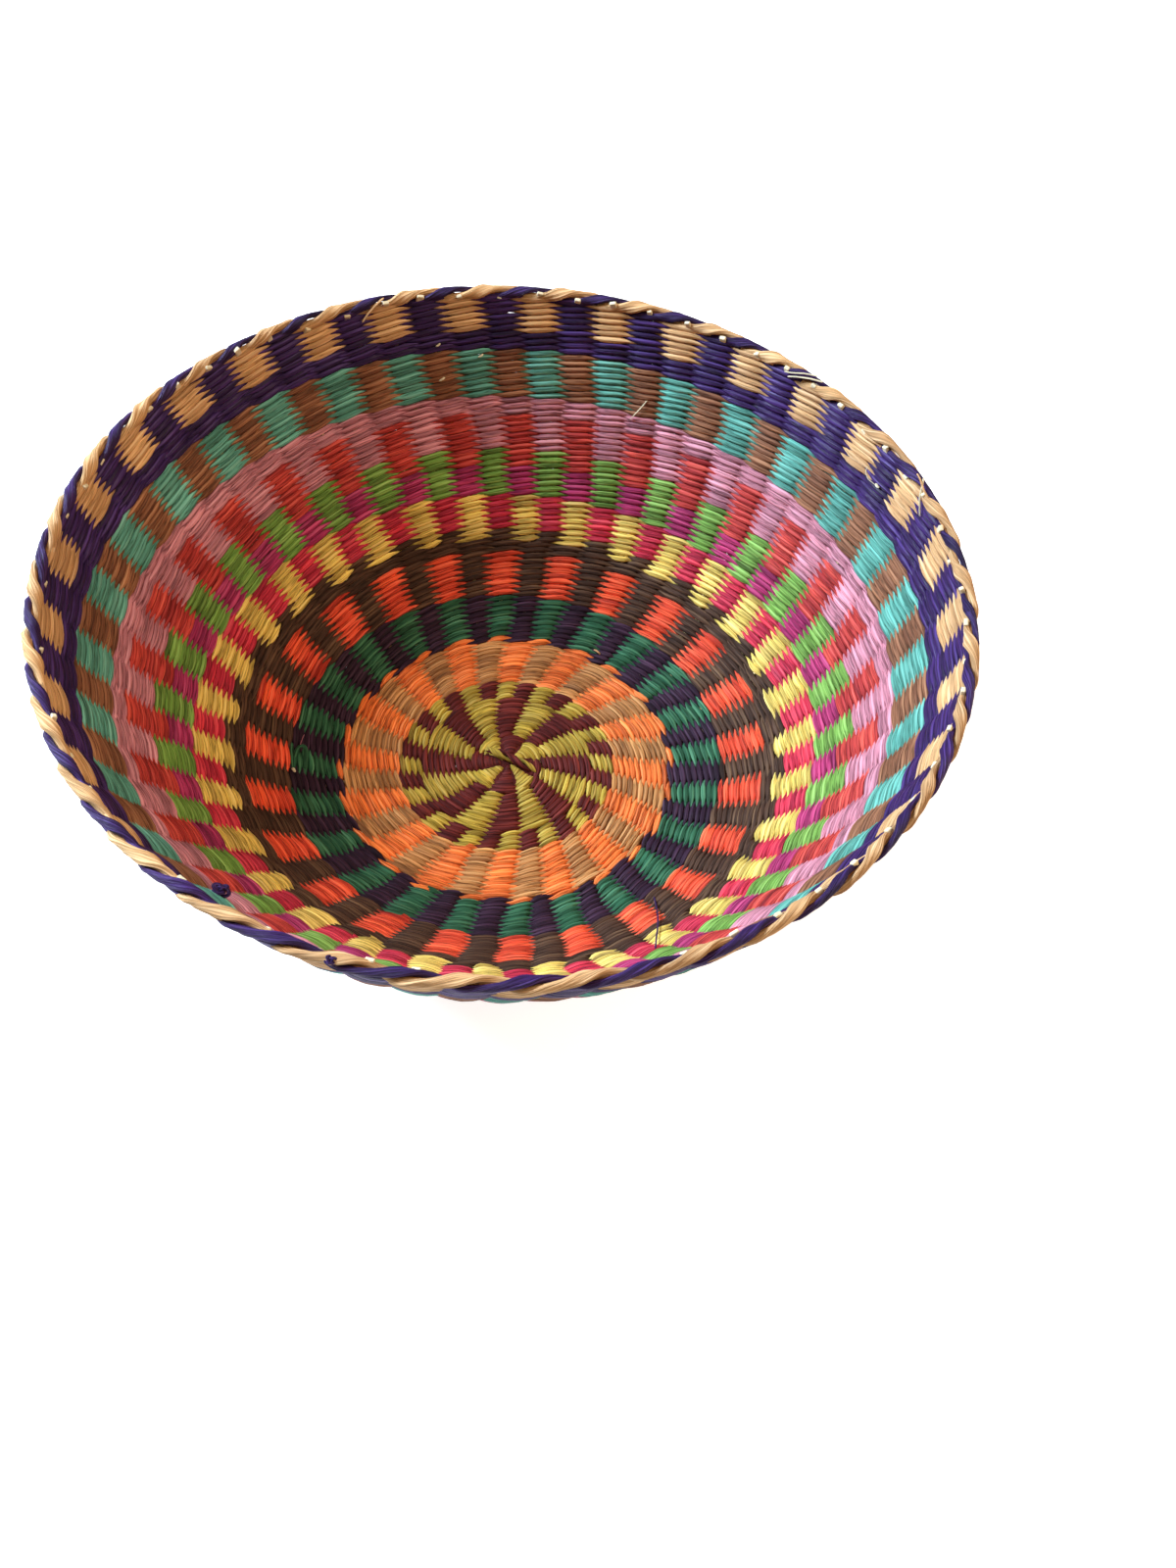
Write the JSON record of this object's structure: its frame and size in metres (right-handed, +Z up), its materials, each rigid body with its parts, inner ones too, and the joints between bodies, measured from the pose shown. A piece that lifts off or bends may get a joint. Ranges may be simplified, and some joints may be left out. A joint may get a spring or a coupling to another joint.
{
  "type": "straw bowl",
  "caption": "Round straw bowl, twined from dyed straw strands over flat stakes, with a two-strand border; holds fruit, bread or small things.",
  "frame": {"origin": "on the surface it stands on, under the middle of the base", "axes": "+Z up through the middle of the bowl, from the base to the border; +X to the right and +Y away from someone who looks at it as the picture does"},
  "size_m": [0.3044, 0.3044, 0.1085],
  "materials": {
    "stake_straw": "undyed straw, satin along the fibre",
    "olive_straw": "dyed straw, satin along the fibre",
    "maroon_straw": "dyed straw, satin along the fibre",
    "orange_straw": "dyed straw, satin along the fibre",
    "tan_straw": "dyed straw, satin along the fibre",
    "plum_straw": "dyed straw, satin along the fibre",
    "bottle_green_straw": "dyed straw, satin along the fibre",
    "vermilion_straw": "dyed straw, satin along the fibre",
    "brown_straw": "dyed straw, satin along the fibre",
    "yellow_straw": "dyed straw, satin along the fibre",
    "crimson_straw": "dyed straw, satin along the fibre",
    "leaf_green_straw": "dyed straw, satin along the fibre",
    "magenta_straw": "dyed straw, satin along the fibre",
    "red_straw": "dyed straw, satin along the fibre",
    "pink_straw": "dyed straw, satin along the fibre",
    "teal_straw": "dyed straw, satin along the fibre",
    "russet_straw": "dyed straw, satin along the fibre",
    "purple_straw": "dyed straw, satin along the fibre",
    "natural_straw": "undyed straw, satin along the fibre"
  },
  "bodies": {
    "root": {"olive_strand": "olive_straw", "maroon_strand": "maroon_straw", "orange_strand": "orange_straw", "tan_strand": "tan_straw", "plum_strand": "plum_straw", "bottle_green_strand": "bottle_green_straw", "vermilion_strand": "vermilion_straw", "brown_strand_outer": "brown_straw", "brown_strand_inner": "brown_straw", "yellow_strand": "yellow_straw", "crimson_strand": "crimson_straw", "leaf_green_strand": "leaf_green_straw", "magenta_strand": "magenta_straw", "red_strand": "red_straw", "pink_strand_inner": "pink_straw", "pink_strand_outer": "pink_straw", "teal_strand": "teal_straw", "russet_strand": "russet_straw", "purple_strand_inner": "purple_straw", "purple_strand_outer": "purple_straw", "straw_strand": "natural_straw", "stake_01": "stake_straw", "stake_02": "stake_straw", "stake_03": "stake_straw", "stake_04": "stake_straw", "stake_05": "stake_straw", "stake_06": "stake_straw", "stake_07": "stake_straw", "stake_08": "stake_straw", "stake_09": "stake_straw", "stake_10": "stake_straw", "stake_11": "stake_straw", "stake_12": "stake_straw", "stake_13": "stake_straw", "stake_14": "stake_straw", "stake_15": "stake_straw", "stake_16": "stake_straw", "centre_binding": "olive_straw", "centre_binding_under": "maroon_straw", "border_strand_straw": "natural_straw", "border_strand_purple": "purple_straw"}
  },
  "joints": []
}
